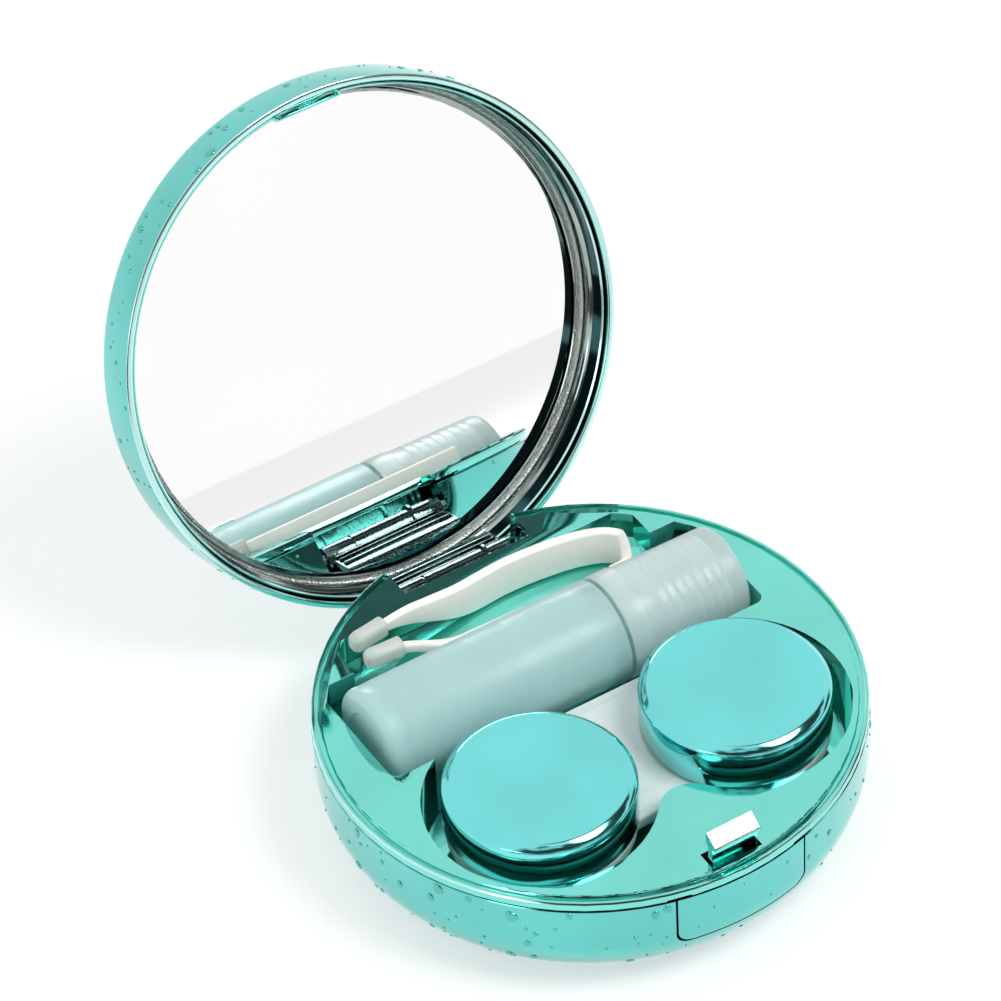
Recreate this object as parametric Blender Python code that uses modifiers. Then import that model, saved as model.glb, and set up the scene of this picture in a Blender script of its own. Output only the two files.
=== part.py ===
"""Round travel kit for contact lenses, open: a clam-shell case with a mirror lid, a tray, a twin lens case,
a solution bottle and a pair of tweezers.

Metres, +Z up. The origin is the middle of the face the case rests on, the latch is at -Y and the hinge at +Y.
The lid is modelled closed and turned open about the hinge by its parent empty.
"""

import math

import bmesh
import bpy
from mathutils import Matrix

# ---- driving dimensions ------------------------------------------------------------------------------------------
CASE_R = 0.0380  # outside radius of the case
BASE_TOP = 0.0161  # top edge of the base shell
BASE_EDGE_R = 0.0100  # round between the side and the underside
SHELL_WALL = 0.0015
GAP = 0.0003  # between two pieces that touch

FLANGE_LOW = BASE_TOP + GAP  # underside of the tray's flange and deck
RIM_TOP = 0.0176  # the ring that the lid closes on
DECK_TOP = 0.0178
GROOVE_IN = 0.0366  # the fine groove between the deck and the rim
GROOVE_OUT = 0.0373
GROOVE_DEPTH = 0.0006
TRAY_WALL = 0.0011

OPEN_ANGLE = math.radians(113.0)
HINGE_Y = 0.0347
HINGE_Z = 0.0128
PIN_R = 0.0008
PIN_CLEAR = 0.00008
BARREL_R = 0.0019
BARREL_HALF = 0.0097
NOTCH_HALF = 0.0103  # half width of the opening that the knuckle turns in

LID_RIM = RIM_TOP + GAP  # the lid's edge when it is closed
LID_TOP = LID_RIM + 0.0095
LID_EDGE_R = 0.0026
LID_IN_R = 0.0370
LINER_R = 0.0367
MIRROR_R = 0.0347
MIRROR_FRONT = LID_RIM + 0.0062
MIRROR_THICK = 0.0010
PAD_R = 0.0330
FINE_GAP = 0.0001  # between the glued flat layers behind the mirror

WELL_X = 0.0157  # the lens case: two wells side by side
WELL_Y = -0.0121
POCKET_R = 0.0160
CAP_R = 0.0132
CAP_TOP = 0.0216
CAP_LOW = 0.0145
PLATE_R = 0.0130
PLATE_TOP = 0.0141
PLATE_LOW = 0.0121
BRIDGE_FRONT_Y = -0.0201  # front edge of the bridge between the two cups
NECK_R = 0.0110
NECK_TOP = 0.0190
LENS_R = 0.0099
CUP_LOW = 0.0072

BOTTLE_Y = 0.0114  # the bottle lies along X
BOTTLE_Z = 0.0154
BOTTLE_R = 0.0077
BOTTLE_LEFT = -0.0285
BOTTLE_SHOULDER = 0.0099
BOTTLE_RIGHT = 0.0297
BOTTLE_NECK_R = 0.0050
BOTTLE_BORE_R = 0.0039

ARM_THICK = 0.0015  # the tweezers stand on edge, closed at +X
ARM_THIN = 0.0011  # thickness inside the tips
ARM_TOP = 0.0198
ARM_END_X = -0.0188
REAR_ARM = (
    (-0.0188, 0.0260),
    (-0.0130, 0.0267),
    (-0.0090, 0.0265),
    (-0.0050, 0.0263),
    (-0.0010, 0.0266),
    (0.0032, 0.0269),
    (0.0080, 0.0267),
    (0.0130, 0.0260),
    (0.0160, 0.0252),
    (0.0183, 0.0241),
    (0.0198, 0.0225),
    (0.0198, 0.0211),
    (0.0187, 0.0204),
    (0.0168, 0.0204),
)  # middle line in X and Y of the rear arm and the closed heel
FRONT_ARM = ((-0.0188, 0.0217), (-0.0130, 0.0214), (-0.0060, 0.0212), (0.0040, 0.0209), (0.0165, 0.0204))
TIP_SIZE = (0.0058, 0.0024, 0.0030)

LATCH_HALF = 0.0036  # half width of the hook
BUTTON_HALF = 0.0100
BUTTON_LOW = 0.0076
BUTTON_CORNER = 0.0022
BUTTON_WALL = 0.0014

STEPS_LARGE = 64
STEPS_CAP = 36
STEPS_SMALL = 16

TEAL = ((0.13, 0.62, 0.58, 1.0), 0.22, 1.0)
TEAL_BRIGHT = ((0.16, 0.70, 0.68, 1.0), 0.18, 1.0)
LINER_METAL = ((0.55, 0.62, 0.60, 1.0), 0.20, 1.0)
MIRROR_METAL = ((0.95, 0.96, 0.96, 1.0), 0.02, 1.0)
STEEL = ((0.60, 0.60, 0.58, 1.0), 0.30, 1.0)
FOAM = ((0.20, 0.20, 0.20, 1.0), 0.90, 0.0)
WHITE = ((0.80, 0.84, 0.83, 1.0), 0.35, 0.0)
FROSTED = ((0.70, 0.82, 0.82, 1.0), 0.45, 0.0)
IVORY = ((0.80, 0.77, 0.70, 1.0), 0.40, 0.0)
SILICONE = ((0.74, 0.78, 0.74, 1.0), 0.50, 0.0)

# ---- scene and collections ----------------------------------------------------------------------------------------
for old in list(bpy.data.objects):
    bpy.data.objects.remove(old)

case_collection = bpy.data.collections.new("contact_lens_case")
cutter_collection = bpy.data.collections.new("cutters")
for new_collection in (case_collection, cutter_collection):
    bpy.context.scene.collection.children.link(new_collection)


def material(name, look):
    """A Principled material of one colour, roughness and metallic value."""
    colour, roughness, metallic = look
    made = bpy.data.materials.new(name)
    made.use_nodes = True
    shader = made.node_tree.nodes["Principled BSDF"]
    shader.inputs["Base Color"].default_value = colour
    shader.inputs["Roughness"].default_value = roughness
    shader.inputs["Metallic"].default_value = metallic
    return made


teal = material("teal_plate", TEAL)
teal_bright = material("teal_cap_plate", TEAL_BRIGHT)
liner_metal = material("liner_plate", LINER_METAL)
mirror_metal = material("mirror_glass", MIRROR_METAL)
steel = material("pin_steel", STEEL)
foam = material("adhesive_foam", FOAM)
white = material("white_plastic", WHITE)
frosted = material("frosted_plastic", FROSTED)
ivory = material("ivory_plastic", IVORY)
silicone = material("silicone", SILICONE)


def as_cutter(obj):
    """Keeps a tool shape out of the object itself."""
    for held_in in list(obj.users_collection):
        held_in.objects.unlink(obj)
    cutter_collection.objects.link(obj)
    obj.hide_render = True
    obj.display_type = "WIRE"
    return obj


def finish(obj, look, parent=None):
    """Gives a sub-part its material and, where it has one, its parent empty."""
    obj.data.materials.clear()
    obj.data.materials.append(look)
    if parent:
        obj.parent = parent
    return obj


def new_object(name, mesh):
    obj = bpy.data.objects.new(name, mesh)
    case_collection.objects.link(obj)
    return obj


# ---- shapes ---------------------------------------------------------------------------------------------------------
def arc(centre, radius, start, end, count):
    """Points of an arc from the start angle to the end angle, in degrees, both ends included."""
    angles = [math.radians(start + (end - start) * i / count) for i in range(count + 1)]
    return [(centre[0] + radius * math.cos(a), centre[1] + radius * math.sin(a)) for a in angles]


def turned(name, profile, steps, closed=False):
    """A profile of (radius, height) points turned about Z, its outer side listed from top to bottom."""
    shape = bmesh.new()
    points = [shape.verts.new((radius, 0.0, height)) for radius, height in profile]
    for first, second in zip(points, points[1:]):
        shape.edges.new((first, second))
    if closed:
        shape.edges.new((points[-1], points[0]))
    mesh = bpy.data.meshes.new(name)
    shape.to_mesh(mesh)
    shape.free()
    obj = new_object(name, mesh)
    screw = obj.modifiers.new("turn", "SCREW")
    screw.steps = steps
    screw.render_steps = steps
    screw.use_merge_vertices = True
    screw.merge_threshold = 0.00001
    screw.use_smooth_shade = True
    return obj


def box(name, low, high, edge=0.0, segments=2):
    """A box between two corners, its edges rounded where an edge radius is given."""
    shape = bmesh.new()
    bmesh.ops.create_cube(shape, size=1.0)
    size = [high[i] - low[i] for i in range(3)]
    middle = [(high[i] + low[i]) / 2 for i in range(3)]
    bmesh.ops.scale(shape, vec=size, verts=shape.verts)
    bmesh.ops.translate(shape, vec=middle, verts=shape.verts)
    mesh = bpy.data.meshes.new(name)
    shape.to_mesh(mesh)
    shape.free()
    obj = new_object(name, mesh)
    if edge:
        bevel(obj, edge, segments)
    return obj


def rod(name, centre, radius, half, axis="X", steps=STEPS_SMALL):
    """A cylinder centred on a point, along X, Y or Z."""
    shape = bmesh.new()
    bmesh.ops.create_cone(
        shape, cap_ends=True, segments=steps, radius1=radius, radius2=radius, depth=2 * half
    )
    turn = {"X": Matrix.Rotation(math.pi / 2, 4, "Y"), "Y": Matrix.Rotation(math.pi / 2, 4, "X")}
    if axis in turn:
        bmesh.ops.transform(shape, matrix=turn[axis], verts=shape.verts)
    bmesh.ops.translate(shape, vec=centre, verts=shape.verts)
    mesh = bpy.data.meshes.new(name)
    shape.to_mesh(mesh)
    shape.free()
    mesh.shade_smooth()
    mesh.set_sharp_from_angle(angle=math.radians(40))
    return new_object(name, mesh)


def prism(name, outline, low, high, plane="XY"):
    """An outline extruded between two heights: along Z from XY, along Y from XZ, or along X from YZ."""
    curve = bpy.data.curves.new(name + "_outline", "CURVE")
    curve.dimensions = "2D"
    curve.fill_mode = "BOTH"
    curve.extrude = (high - low) / 2
    spline = curve.splines.new("POLY")
    spline.points.add(len(outline) - 1)
    for point, (across, along) in zip(spline.points, outline):
        point.co = (across, along, 0.0, 1.0)
    spline.use_cyclic_u = True
    drawn = new_object(name + "_outline", curve)
    bpy.context.view_layer.update()
    mesh = bpy.data.meshes.new_from_object(drawn.evaluated_get(bpy.context.evaluated_depsgraph_get()))
    bpy.data.objects.remove(drawn)
    place = Matrix.Translation((0.0, 0.0, (high + low) / 2))
    turn = {
        "XY": Matrix.Identity(4),
        "XZ": Matrix(((1, 0, 0, 0), (0, 0, 1, 0), (0, 1, 0, 0), (0, 0, 0, 1))),
        "YZ": Matrix(((0, 0, 1, 0), (1, 0, 0, 0), (0, 1, 0, 0), (0, 0, 0, 1))),
    }
    shape = bmesh.new()
    shape.from_mesh(mesh)
    bmesh.ops.remove_doubles(shape, verts=shape.verts, dist=0.000001)
    bmesh.ops.transform(shape, matrix=turn[plane] @ place, verts=shape.verts)
    bmesh.ops.recalc_face_normals(shape, faces=shape.faces)
    shape.to_mesh(mesh)
    shape.free()
    mesh.name = name
    return new_object(name, mesh)


def rounded_rectangle(low, high, radius, count=5):
    """An outline with round corners, counter-clockwise."""
    (x0, y0), (x1, y1) = low, high
    corners = [
        ((x1 - radius, y0 + radius), -90),
        ((x1 - radius, y1 - radius), 0),
        ((x0 + radius, y1 - radius), 90),
        ((x0 + radius, y0 + radius), 180),
    ]
    return [point for centre, start in corners for point in arc(centre, radius, start, start + 90, count)]


def bevel(obj, width, segments=1):
    edge = obj.modifiers.new("round", "BEVEL")
    edge.width = width
    edge.segments = segments
    edge.limit_method = "ANGLE"
    edge.angle_limit = math.radians(40)
    return obj


def boolean(obj, other, operation):
    """Cuts, joins or trims one shape with another, which becomes a tool shape."""
    step = obj.modifiers.new(other.name, "BOOLEAN")
    step.operation = operation
    step.object = as_cutter(other)
    step.solver = "EXACT"
    return obj


def cut(obj, *others):
    for other in others:
        boolean(obj, other, "DIFFERENCE")
    return obj


def join(obj, *others):
    for other in others:
        boolean(obj, other, "UNION")
    return obj


def trim(obj, other):
    return boolean(obj, other, "INTERSECT")


def base_surface(offset, top, count=7):
    """The base's outer side moved inwards by an offset, from the given height down to the axis."""
    radius = CASE_R - offset
    centre = (CASE_R - BASE_EDGE_R, BASE_EDGE_R)
    return [(radius, top)] + arc(centre, BASE_EDGE_R - offset, 0, -90, count) + [(0.0, offset)]


# ---- base shell -----------------------------------------------------------------------------------------------------
def button_outline(grow):
    """The button as seen from the front, in X and Z: square above, round corners below."""
    half = BUTTON_HALF + grow
    low = BUTTON_LOW - grow
    radius = BUTTON_CORNER
    top = BASE_TOP + (0.002 if grow else -0.00005)
    return (
        [(half, top), (-half, top)]
        + arc((-half + radius, low + radius), radius, 180, 270, 5)
        + arc((half - radius, low + radius), radius, 270, 360, 5)
    )


def build_base_shell():
    outer = base_surface(0.0, BASE_TOP)
    inner = base_surface(SHELL_WALL, BASE_TOP)
    shell = turned("base_shell", inner[::-1] + outer, STEPS_LARGE)
    for side in (-1, 1):
        inside, outside = sorted((side * 0.0106, side * 0.0137))
        boss = box(f"pin_boss_{side}", (inside, 0.0322, 0.0100), (outside, 0.0350, 0.0156))
        join(shell, boss)
    rib = box("spring_rib", (-0.0032, -0.0312, 0.0008), (0.0032, -0.0300, 0.0132))
    join(shell, rib)
    notch = box("hinge_notch", (-NOTCH_HALF, 0.0300, 0.0086), (NOTCH_HALF, 0.0450, 0.0300))
    pin_hole = rod("pin_hole", (0.0, HINGE_Y, HINGE_Z), PIN_R + PIN_CLEAR, 0.0127)
    window = prism("button_window", button_outline(GAP), -0.0450, -0.0320, "XZ")
    cut(shell, notch, pin_hole, window)
    return finish(shell, teal)


# ---- inner tray -----------------------------------------------------------------------------------------------------
BOTTLE_POCKET = ((-0.0301, 0.0018), (0.0301, 0.0218))
TWEEZERS_POCKET = ((-0.0242, 0.0206), (0.0242, 0.0282))
POCKET_CORNER = 0.0014
WELL_FLOOR = CUP_LOW - GAP
BOTTLE_FLOOR = BOTTLE_Z - BOTTLE_R - GAP
TWEEZERS_FLOOR = 0.0134
BRIDGE_FLOOR = PLATE_LOW - GAP
LOBE_TIP_Y = -0.0207  # the deck's round lobe between the two wells


def middle_outline():
    """The opening between the two wells, its front edge round the deck's lobe, which nearly touches both wells."""
    reach = WELL_Y - LOBE_TIP_Y
    radius = (WELL_X**2 + reach**2 - POCKET_R**2) / (2 * (POCKET_R - reach))
    centre = (0.0, LOBE_TIP_Y - radius)
    touch = math.degrees(math.atan2(WELL_Y - centre[1], WELL_X)) + 12
    lobe = arc(centre, radius, 180 - touch, touch, 10)
    return [(-WELL_X, WELL_Y)] + lobe + [(WELL_X, WELL_Y), (0.0120, 0.0044), (-0.0120, 0.0044)]


def pocket(name, kind, grow, floor, top):
    """One hollow of the tray, or with a positive grow the wall around it."""
    if kind == "left_well" or kind == "right_well":
        side = -1 if kind == "left_well" else 1
        middle = (side * WELL_X, WELL_Y, (floor + top) / 2)
        return rod(name, middle, POCKET_R + grow, (top - floor) / 2, "Z", 56)
    if kind == "middle" and grow:
        return box(name, (-0.0060, LOBE_TIP_Y - grow, floor), (0.0060, 0.0026, top))
    if kind == "middle":
        return prism(name, middle_outline(), floor, top)
    low, high = BOTTLE_POCKET if kind == "bottle" else TWEEZERS_POCKET
    outline = rounded_rectangle(
        (low[0] - grow, low[1] - grow), (high[0] + grow, high[1] + grow), POCKET_CORNER + grow
    )
    return prism(name, outline, floor, top)


def build_inner_tray():
    spigot_out = CASE_R - SHELL_WALL - GAP
    spigot_in = spigot_out - 0.0012
    deck = [
        (0.0, DECK_TOP),
        (GROOVE_IN - 0.0001, DECK_TOP),
        (GROOVE_IN, DECK_TOP - 0.0001),
        (GROOVE_IN, RIM_TOP - GROOVE_DEPTH),
        (GROOVE_OUT, RIM_TOP - GROOVE_DEPTH),
        (GROOVE_OUT, RIM_TOP),
        (CASE_R - 0.0002, RIM_TOP),
        (CASE_R, RIM_TOP - 0.0002),
        (CASE_R, FLANGE_LOW),
        (spigot_out, FLANGE_LOW),
        (spigot_out, FLANGE_LOW - 0.0018),
        (spigot_in, FLANGE_LOW - 0.0018),
        (spigot_in, FLANGE_LOW),
        (0.0, FLANGE_LOW),
    ]
    tray = turned("inner_tray", deck, STEPS_LARGE)
    floors = {
        "left_well": WELL_FLOOR,
        "right_well": WELL_FLOOR,
        "middle": BRIDGE_FLOOR,
        "bottle": BOTTLE_FLOOR,
        "tweezers": TWEEZERS_FLOOR,
    }
    outside = SHELL_WALL + GAP + 0.0001
    envelope = turned("tray_envelope", [(0.0, 0.0172)] + base_surface(outside, 0.0172), STEPS_LARGE)
    walls = []
    hollows = []
    for index, (kind, floor) in enumerate(floors.items()):
        walls.append(pocket(kind + "_wall", kind, TRAY_WALL, floor - TRAY_WALL, 0.01710 - index * 0.00006))
        hollows.append(pocket(kind + "_hollow", kind, 0.0, floor, 0.0300 + index * 0.0003))
    wall = join(walls[0], *walls[1:])
    hollow = join(hollows[0], *hollows[1:])
    inside = turned("tray_inside", [(0.0, 0.0290)] + base_surface(outside + 0.0004, 0.0290), STEPS_LARGE)
    join(tray, trim(wall, envelope))
    cut(tray, trim(hollow, inside))
    slot = box("latch_slot", (-0.0039, -0.0359, 0.0150), (0.0039, -0.0328, 0.0200))
    slit = box("rim_slit", (-0.0042, -0.03715, 0.0167), (0.0030, -0.03680, 0.0200))
    notch = box("tray_notch", (-NOTCH_HALF, 0.0310, 0.0100), (NOTCH_HALF, 0.0450, 0.0300))
    button_clear = box("button_clear", (-0.0114, -0.0371, 0.0130), (0.0114, -0.0310, FLANGE_LOW + 0.0002))
    boss_clear = box("boss_clear", (-0.0146, 0.0305, 0.0130), (0.0146, 0.0369, FLANGE_LOW + 0.0002))
    cut(tray, slot, slit, notch, button_clear, boss_clear)
    return finish(tray, teal)


# ---- latch ------------------------------------------------------------------------------------------------------------
HOOK_TOP = 0.0228
HOOK_TIP_Y = -0.0361
STEM_FRONT_Y = -0.0352
STEM_REAR_Y = -0.0342


def build_latch_button():
    outer = base_surface(0.0, BASE_TOP - 0.00005)
    inner = base_surface(BUTTON_WALL, BASE_TOP - 0.00005)
    button = turned("latch_button", inner[::-1] + outer, STEPS_LARGE)
    trim(button, prism("button_blank", button_outline(0.0), -0.0450, -0.0300, "XZ"))
    hook = [
        (-0.0370, 0.0124),
        (STEM_REAR_Y, 0.0124),
        (STEM_REAR_Y, HOOK_TOP - 0.0003),
        (STEM_REAR_Y - 0.0003, HOOK_TOP),
        (STEM_FRONT_Y, HOOK_TOP - 0.0001),
        (HOOK_TIP_Y, HOOK_TOP - 0.0006),
        (HOOK_TIP_Y, HOOK_TOP - 0.0011),
        (STEM_FRONT_Y, HOOK_TOP - 0.0021),
        (STEM_FRONT_Y, 0.0142),
        (-0.0370, 0.0142),
    ]
    join(button, prism("hook", hook, -LATCH_HALF, LATCH_HALF, "YZ"))
    return finish(button, teal)


def build_latch_spring():
    """A compression spring between the button and the rib behind it."""
    turns = 5
    per_turn = 12
    front, rear = -0.0360, -0.0315
    curve = bpy.data.curves.new("latch_spring", "CURVE")
    curve.dimensions = "3D"
    curve.bevel_depth = 0.0002
    curve.bevel_resolution = 1
    curve.use_fill_caps = True
    spline = curve.splines.new("POLY")
    count = turns * per_turn + 1
    spline.points.add(count - 1)
    for i, point in enumerate(spline.points):
        angle = 2 * math.pi * i / per_turn
        along = front + (rear - front) * i / (count - 1)
        point.co = (0.0016 * math.cos(angle), along, 0.0100 + 0.0016 * math.sin(angle), 1.0)
    return finish(new_object("latch_spring", curve), steel)


# ---- hinge and lid ----------------------------------------------------------------------------------------------------
hinge = bpy.data.objects.new("lid_hinge_axis", None)
case_collection.objects.link(hinge)
hinge.location = (0.0, HINGE_Y, HINGE_Z)
hinge.rotation_euler = (-OPEN_ANGLE, 0.0, 0.0)

TO_HINGE = Matrix.Translation((0.0, -HINGE_Y, -HINGE_Z))


def on_lid(obj):
    """Hangs a shape made in the closed lid's place on the hinge's empty."""
    obj.data.transform(TO_HINGE)
    obj.parent = hinge
    return obj


def lid_turned(name, profile):
    """A turned shape centred on the case's axis in the closed lid, carried by the hinge's empty."""
    obj = turned(name, profile, STEPS_LARGE)
    obj.parent = hinge
    obj.location = (0.0, -HINGE_Y, -HINGE_Z)
    return obj


def lid_box(name, low, high):
    return on_lid(box(name, low, high))


def build_lid_shell():
    top_in = LID_TOP - 0.0011
    corner_in = LID_EDGE_R - 0.0010
    profile = (
        [(0.0, LID_TOP)]
        + arc((CASE_R - LID_EDGE_R, LID_TOP - LID_EDGE_R), LID_EDGE_R, 90, 0, 5)
        + [(CASE_R, LID_RIM + 0.0002), (CASE_R - 0.0002, LID_RIM), (LID_IN_R + 0.0001, LID_RIM), (LID_IN_R, LID_RIM + 0.0001)]
        + arc((LID_IN_R - corner_in, top_in - corner_in), corner_in, 0, 90, 4)
        + [(0.0, top_in)]
    )
    return finish(lid_turned("lid_shell", profile), teal)


def build_lid_liner():
    back = LID_TOP - 0.0011 - 2 * FINE_GAP
    floor = MIRROR_FRONT + MIRROR_THICK + 5 * FINE_GAP
    step = MIRROR_FRONT + 0.0003
    mouth = LID_RIM + 0.0007
    profile = [
        (0.0, back),
        (LINER_R - 0.0016, back),
        (LINER_R, back - 0.0016),
        (LINER_R, mouth),
        (LINER_R - 0.0004, mouth),
        (LINER_R - 0.0006, step),
        (MIRROR_R + 0.0003, step),
        (MIRROR_R + 0.0003, floor),
        (0.0, floor),
    ]
    liner = lid_turned("lid_liner", profile)
    round_limit = lid_turned(
        "knuckle_limit", [(0.0, LID_TOP), (LINER_R - 0.0003, LID_TOP), (LINER_R - 0.0003, 0.0), (0.0, 0.0)]
    )
    arm = lid_box("knuckle_arm", (0.0003 - BARREL_HALF, 0.0341, HINGE_Z), (BARREL_HALF - 0.0003, 0.0380, LID_RIM + 0.0024))
    trim(arm, round_limit)
    barrel = on_lid(rod("knuckle_barrel", (0.0, HINGE_Y, HINGE_Z), BARREL_R, BARREL_HALF))
    ledge = lid_box("catch_ledge", (-0.0052, -0.0363, LID_RIM + 0.0004), (0.0052, -0.0356, LID_RIM + 0.0025))
    window = lid_box("catch_window", (-0.0046, -0.0375, LID_RIM + 0.0027), (0.0046, -0.0345, LID_RIM + 0.0056))
    join(liner, arm, barrel, ledge)
    hole = on_lid(rod("knuckle_hole", (0.0, HINGE_Y, HINGE_Z), PIN_R + PIN_CLEAR, 0.0150))
    cut(liner, window, hole)
    return finish(liner, liner_metal)


def build_mirror():
    front, back = MIRROR_FRONT, MIRROR_FRONT + MIRROR_THICK
    chamfer = 0.0003
    glass = [(0.0, back), (MIRROR_R, back), (MIRROR_R, front + chamfer), (MIRROR_R - chamfer, front), (0.0, front)]
    finish(lid_turned("mirror", glass), mirror_metal)
    low, high = back + FINE_GAP, back + 4 * FINE_GAP
    pad = [(0.0, high), (PAD_R, high), (PAD_R, low), (0.0, low)]
    finish(lid_turned("mirror_pad", pad), foam)


def build_hinge_pin():
    return finish(rod("hinge_pin", (0.0, HINGE_Y, HINGE_Z), PIN_R, 0.0124), steel)


# ---- lens case --------------------------------------------------------------------------------------------------------
def at_well(obj, side):
    obj.location = (side * WELL_X, WELL_Y, 0.0)
    return obj


def build_lens_case():
    bridge = math.degrees(math.asin((WELL_Y - BRIDGE_FRONT_Y) / PLATE_R))
    outline = arc((WELL_X, WELL_Y), PLATE_R, bridge - 180, 90, 22)
    outline += arc((-WELL_X, WELL_Y), PLATE_R, 90, 360 - bridge, 22)
    body = bevel(prism("lens_case_body", outline, PLATE_LOW, PLATE_TOP), 0.0004)
    outer_edge = 0.0024
    cup = (
        [(0.0, NECK_TOP), (NECK_R - 0.0002, NECK_TOP), (NECK_R, NECK_TOP - 0.0002), (NECK_R, PLATE_TOP - 0.0002)]
        + [(NECK_R + 0.0004, PLATE_TOP - 0.0003)]
        + arc((NECK_R + 0.0004 - outer_edge, CUP_LOW + outer_edge), outer_edge, 0, -90, 4)
        + [(0.0, CUP_LOW)]
    )
    floor = CUP_LOW + 0.0012
    well_edge = 0.0030
    well = (
        [(0.0, 0.0210), (LENS_R, 0.0210)]
        + arc((LENS_R - well_edge, floor + well_edge), well_edge, 0, -90, 5)
        + [(0.0, floor)]
    )
    for name, side in (("left", -1), ("right", 1)):
        join(body, at_well(turned(name + "_cup", cup, STEPS_CAP), side))
    for name, side in (("left", -1), ("right", 1)):
        cut(body, at_well(turned(name + "_lens_well", well, STEPS_CAP), side))
    return finish(body, white)


def build_lens_caps():
    wall = 0.0009
    roof = CAP_TOP - 0.0010
    edge = 0.0009
    shell = (
        [(0.0, CAP_TOP)]
        + arc((CAP_R - edge, CAP_TOP - edge), edge, 90, 0, 4)
        + [(CAP_R, CAP_LOW), (CAP_R - wall, CAP_LOW), (CAP_R - wall, roof), (0.0, roof)]
    )
    outer = CAP_R - wall - GAP
    top = roof - GAP
    inner = NECK_R + GAP
    ceiling = NECK_TOP + GAP
    insert = [
        (0.0, top),
        (outer, top),
        (outer, CAP_LOW + 0.0002),
        (inner, CAP_LOW + 0.0002),
        (inner, ceiling),
        (0.0, ceiling),
    ]
    for name, side in (("left", -1), ("right", 1)):
        finish(at_well(turned(name + "_cap_shell", shell, STEPS_CAP), side), teal_bright)
        finish(at_well(turned(name + "_cap_insert", insert, STEPS_CAP), side), white)


# ---- bottle -----------------------------------------------------------------------------------------------------------
def along_bottle(obj):
    """Lays a shape turned about Z along the bottle's axis, its top towards +X."""
    obj.rotation_euler = (0.0, math.pi / 2, 0.0)
    obj.location = (0.0, BOTTLE_Y, BOTTLE_Z)
    return obj


def build_bottle():
    wall = 0.0010
    inside = BOTTLE_R - wall
    neck_end = 0.0168
    edge = 0.0016
    body = (
        [(0.0, BOTTLE_LEFT + wall)]
        + arc((inside - edge, BOTTLE_LEFT + wall + edge), edge, -90, 0, 3)
        + [(inside, BOTTLE_SHOULDER - 0.0030), (BOTTLE_BORE_R, BOTTLE_SHOULDER - 0.0008), (BOTTLE_BORE_R, neck_end)]
        + [(BOTTLE_NECK_R, neck_end), (BOTTLE_NECK_R, BOTTLE_SHOULDER), (BOTTLE_R - 0.0008, BOTTLE_SHOULDER - 0.0002)]
        + [(BOTTLE_R, BOTTLE_SHOULDER - 0.0012)]
        + arc((BOTTLE_R - edge, BOTTLE_LEFT + edge), edge, 0, -90, 4)
        + [(0.0, BOTTLE_LEFT)]
    )
    finish(along_bottle(turned("bottle_body", body, STEPS_CAP)), frosted)
    bore = 0.0007
    flange_low = neck_end + GAP
    nozzle = [
        (bore, 0.0206),
        (0.0013, 0.0206),
        (0.0024, 0.0182),
        (0.0024, flange_low + 0.0008),
        (0.0047, flange_low + 0.0008),
        (0.0047, flange_low),
        (BOTTLE_BORE_R - GAP, flange_low),
        (BOTTLE_BORE_R - GAP, 0.0120),
        (bore, 0.0120),
    ]
    finish(along_bottle(turned("bottle_nozzle", nozzle, STEPS_SMALL, closed=True)), white)
    cap_low = BOTTLE_SHOULDER + GAP
    end_r = 0.0072
    round_r = 0.0012
    cap_in = BOTTLE_NECK_R + GAP
    cap = (
        [(0.0, BOTTLE_RIGHT)]
        + arc((end_r - round_r, BOTTLE_RIGHT - round_r), round_r, 90, 0, 4)
        + [(0.0075, cap_low + 0.0036), (0.0077, cap_low + 0.0033), (0.0077, cap_low + 0.0003), (0.0074, cap_low)]
        + [(cap_in, cap_low), (cap_in, BOTTLE_RIGHT - 0.0020), (0.0, BOTTLE_RIGHT - 0.0020)]
    )
    finish(along_bottle(turned("bottle_cap", cap, STEPS_CAP)), frosted)


# ---- tweezers -----------------------------------------------------------------------------------------------------------
def smooth_line(points, count):
    """A smooth curve through points: a place and a direction for each step."""
    ends = [points[0]] + list(points) + [points[-1]]
    line = []
    for i in range(len(points) - 1):
        before, start, end, after = ends[i : i + 4]
        for j in range(count if i < len(points) - 2 else count + 1):
            t = j / count
            place = [
                0.5 * (2 * q + (r - p) * t + (2 * p - 5 * q + 4 * r - s) * t * t + (3 * q - p - 3 * r + s) * t**3)
                for p, q, r, s in zip(before, start, end, after)
            ]
            line.append(place)
    steps = [(line[max(i - 1, 0)], line[min(i + 1, len(line) - 1)]) for i in range(len(line))]
    return [(place, math.atan2(far[1] - near[1], far[0] - near[0])) for place, (near, far) in zip(line, steps)]


def arm_edges(x, front):
    """Heights of an arm's lower and upper edge: deepest in the middle, or for the front arm a low strip."""
    t = min(1.0, max(0.0, (x - ARM_END_X) / (0.0120 if front else 0.0180)))
    fall = t * t * (3 - 2 * t)
    return ARM_TOP - 0.0016 - 0.0044 * fall, ARM_TOP - (0.0042 * fall if front else 0.0)


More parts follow.
